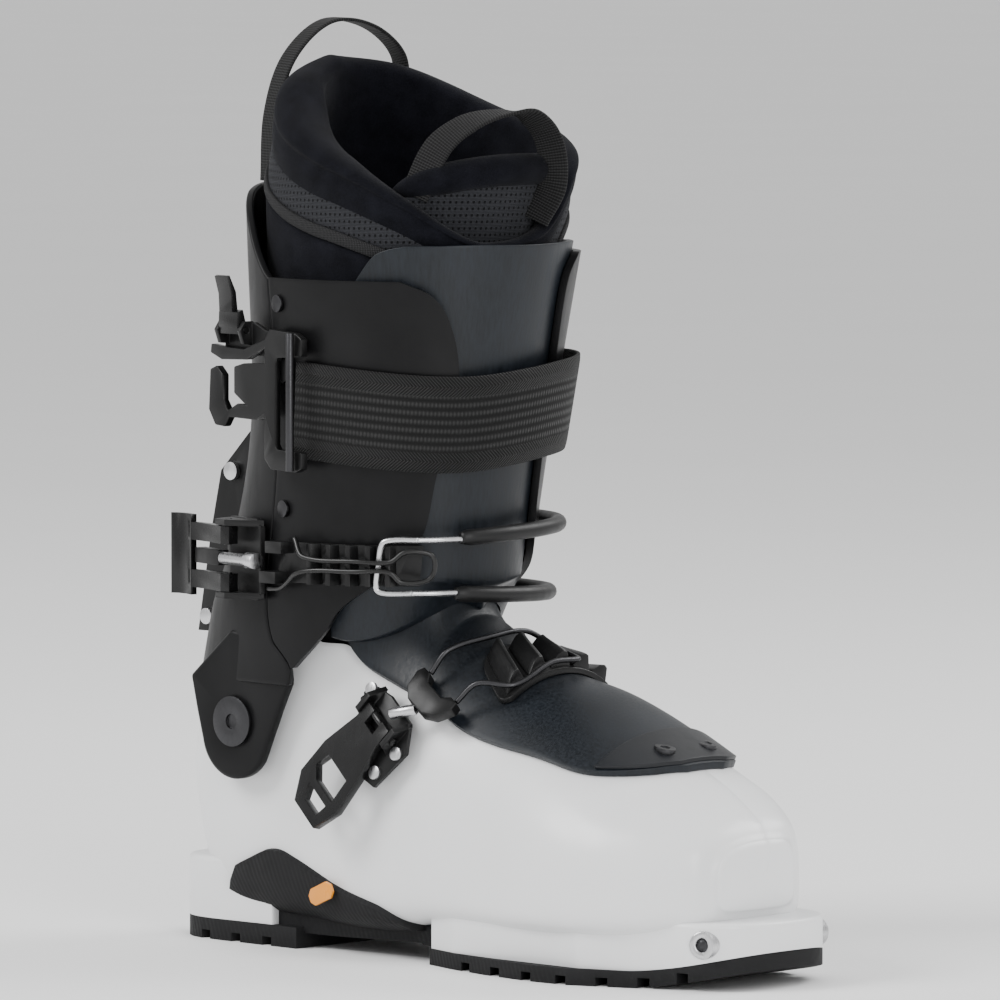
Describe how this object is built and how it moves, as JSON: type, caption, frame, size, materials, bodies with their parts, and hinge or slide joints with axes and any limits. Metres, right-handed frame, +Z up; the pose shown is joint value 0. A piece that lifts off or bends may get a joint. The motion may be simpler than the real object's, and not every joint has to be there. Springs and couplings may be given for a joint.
{
  "type": "alpine touring ski boot",
  "caption": "Right alpine touring boot: plastic lower shell on a rubber sole, flexing cuff with walk lock, overlap tongue, liner, power strap and cable buckles.",
  "frame": {"origin": "middle of the boot's bounding box, on the floor under the sole", "axes": "+X towards the toe, +Y towards the inner side of the foot, +Z up"},
  "size_m": [0.309, 0.1258, 0.3691],
  "materials": {
    "white_shell": "satin",
    "sole_rubber": "matt with fine ribs",
    "orange_trim": "gloss",
    "steel": "satin",
    "black_screws": "satin",
    "grey_tongue": "satin, faintly brushed",
    "black_plate": "satin",
    "cuff_black": "satin",
    "buckle_black": "matt",
    "cable": "satin",
    "liner_fabric": "soft knit and fleece",
    "gasket_rubber": "matt",
    "webbing": "woven",
    "board": "matt",
    "insole": "matt"
  },
  "bodies": {
    "lower_boot": {"lower_shell": "white_shell", "outsole": "sole_rubber", "sole_badge": "orange_trim", "toe_inserts": "steel", "heel_insert": "steel", "boot_board": "board", "footbed": "insole", "liner_foot": "liner_fabric", "throat_gasket": "gasket_rubber", "instep_tongue": "grey_tongue", "toe_plate": "black_plate", "toe_plate_bolts": "black_screws", "pivot_bolts": "black_screws", "lock_anchor": "steel", "instep_buckle_base": "buckle_black", "instep_rivets": "steel", "instep_rack": "buckle_black", "instep_anchor": "steel"},
    "cuff": {"cuff_frame": "cuff_black", "cuff_wrap_lateral": "cuff_black", "cuff_wrap_medial": "cuff_black", "cuff_rivets": "steel", "shin_tongue": "grey_tongue", "lock_housing": "cuff_black", "housing_screws": "steel", "liner_ankle": "liner_fabric", "liner_cuff": "liner_fabric", "liner_tongue": "liner_fabric", "pull_loop_rear": "webbing", "pull_loop_front": "webbing", "power_strap": "webbing", "strap_anchor": "buckle_black", "strap_buckle_base": "buckle_black", "strap_frame": "buckle_black", "strap_pin": "steel", "cuff_buckle_base": "buckle_black", "cable_sleeves": "cable", "cable_anchor": "buckle_black"},
    "lock_bar": {"lock_bar": "steel"},
    "walk_lever": {"walk_lever": "cuff_black"},
    "strap_lever": {"strap_lever": "buckle_black"},
    "cuff_lever": {"cuff_lever": "buckle_black"},
    "cuff_rack": {"cuff_link": "buckle_black", "cuff_adjuster": "steel", "cuff_rack": "buckle_black", "rack_puller": "cable", "cuff_bail": "steel", "cuff_cables": "cable"},
    "instep_lever": {"instep_lever": "buckle_black"},
    "instep_yoke": {"instep_link": "steel", "instep_yoke": "buckle_black", "instep_wires": "cable"}
  },
  "joints": [
    {"name": "cuff_flex", "type": "hinge", "parent": "lower_boot", "child": "cuff", "pos_m": [-0.0975, 0.0037, 0.09], "axis": [0, 1, 0], "range_deg": [-18, 20], "deforming": ["shin_tongue", "liner_ankle"]},
    {"name": "lock_bar", "type": "hinge", "parent": "lower_boot", "child": "lock_bar", "pos_m": [-0.1495, 0.0037, 0.094], "axis": [0, 1, 0], "range_deg": [-15.3, 17]},
    {"name": "walk_lever", "type": "hinge", "parent": "cuff", "child": "walk_lever", "pos_m": [-0.1325, 0.0037, 0.186], "axis": [0, 1, 0], "range_deg": [0, 80]},
    {"name": "strap_lever", "type": "hinge", "parent": "cuff", "child": "strap_lever", "pos_m": [-0.08739, -0.05373, 0.246], "axis": [0.9925, -0.1219, 0], "range_deg": [0, 95]},
    {"name": "cuff_lever", "type": "hinge", "parent": "cuff", "child": "cuff_lever", "pos_m": [-0.091, -0.0529, 0.1555], "axis": [0, 0, 1], "range_deg": [0, 110]},
    {"name": "cuff_rack", "type": "slide", "parent": "cuff", "child": "cuff_rack", "axis": [0.985, 0.1726, 0], "range_m": [0, 0.004], "deforming": ["cuff_cables", "cable_sleeves"]},
    {"name": "instep_lever", "type": "hinge", "parent": "lower_boot", "child": "instep_lever", "pos_m": [-0.0205, -0.0408, 0.095], "axis": [-0.766, 0.1446, 0.6263], "range_deg": [0, 100]},
    {"name": "instep_yoke", "type": "slide", "parent": "lower_boot", "child": "instep_yoke", "axis": [0.5077, 0.6092, 0.6092], "range_m": [0, 0.005], "deforming": ["instep_wires"]}
  ],
  "couplings": [
    {"joint": "lock_bar", "follows": "cuff_flex", "ratio": 0.85},
    {"joint": "cuff_rack", "follows": "cuff_lever", "m_per_rad": 0.002083},
    {"joint": "instep_yoke", "follows": "instep_lever", "m_per_rad": 0.002865}
  ]
}
